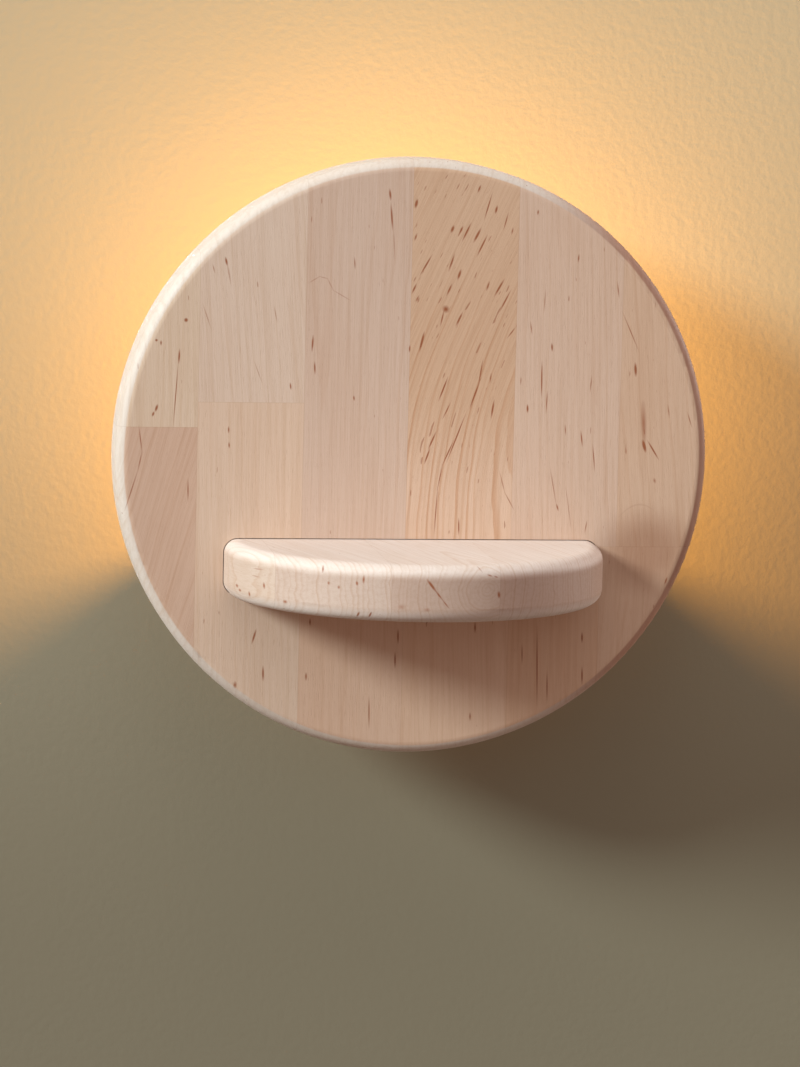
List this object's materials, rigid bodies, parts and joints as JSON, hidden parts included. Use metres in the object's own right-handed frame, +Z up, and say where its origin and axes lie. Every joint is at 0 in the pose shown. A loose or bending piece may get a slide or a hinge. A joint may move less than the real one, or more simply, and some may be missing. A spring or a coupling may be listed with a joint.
{
  "type": "wall lamp with shelf",
  "caption": "Round wooden wall lamp: a disc stands off the wall in front of a small bulb, and a half-moon shelf passes through a slot in it.",
  "frame": {"origin": "on the wall plane, behind the centre of the round disc", "axes": "+Z up, -Y out of the wall towards the room, +X to the right seen from the room"},
  "size_m": [0.3, 0.173, 0.3],
  "materials": {
    "disc_wood": "pale edge-glued hardwood, fine sanded, clear matt oil",
    "shelf_wood": "pale edge-glued hardwood, fine sanded, clear matt oil",
    "painted_steel": "white powder coat, fine texture",
    "zinc_steel": "bright zinc plate",
    "screw_steel": "bright zinc plate",
    "shield_aluminium": "brushed sheet",
    "holder_ceramic": "unglazed white ceramic",
    "contact_brass": "plain brass",
    "terminal_plastic": "moulded polyamide",
    "cover_plastic": "moulded cover, fine texture",
    "dark_rubber": "moulded rubber",
    "brown_lead": "insulated lead",
    "blue_lead": "insulated lead",
    "earth_lead": "green and yellow insulated lead",
    "tinned_tag": "tinned copper",
    "bulb_plastic": "moulded bulb base",
    "pin_wire": "nickel wire",
    "bulb_carrier": "bead-blasted carrier",
    "led_phosphor": "yellow phosphor",
    "frosted_cover": "frosted cover, lit"
  },
  "bodies": {
    "wall_side": {"wall_plate": "painted_steel", "cable_grommet": "dark_rubber"},
    "lamp": {"front_disc": "disc_wood", "shelf_board": "shelf_wood", "shelf_bumpers": "dark_rubber", "shelf_angles": "zinc_steel", "angle_screws": "screw_steel", "back_bracket": "painted_steel", "bracket_screws": "screw_steel", "heat_shield": "shield_aluminium", "shield_screws": "screw_steel", "holder_body": "holder_ceramic", "holder_contacts": "contact_brass", "holder_saddle": "zinc_steel", "holder_screws": "screw_steel", "terminal_body": "terminal_plastic", "terminal_cores": "contact_brass", "terminal_screws": "screw_steel", "terminal_fixings": "screw_steel", "terminal_cover": "cover_plastic", "cover_screw": "screw_steel", "live_lead": "brown_lead", "neutral_lead": "blue_lead", "earth_lead": "earth_lead", "earth_tag": "tinned_tag", "earth_screw": "screw_steel"},
    "bulb": {"bulb_base": "bulb_plastic", "bulb_pins": "pin_wire", "bulb_core": "bulb_carrier", "bulb_leds": "led_phosphor", "bulb_cover": "frosted_cover"}
  },
  "joints": [
    {"name": "lamp_lift", "type": "slide", "parent": "wall_side", "child": "lamp", "axis": [0, 0, 1], "range_m": [0, 0.01]},
    {"name": "bulb_pull", "type": "slide", "parent": "lamp", "child": "bulb", "axis": [0, 0, 1], "range_m": [0, 0.015]}
  ]
}
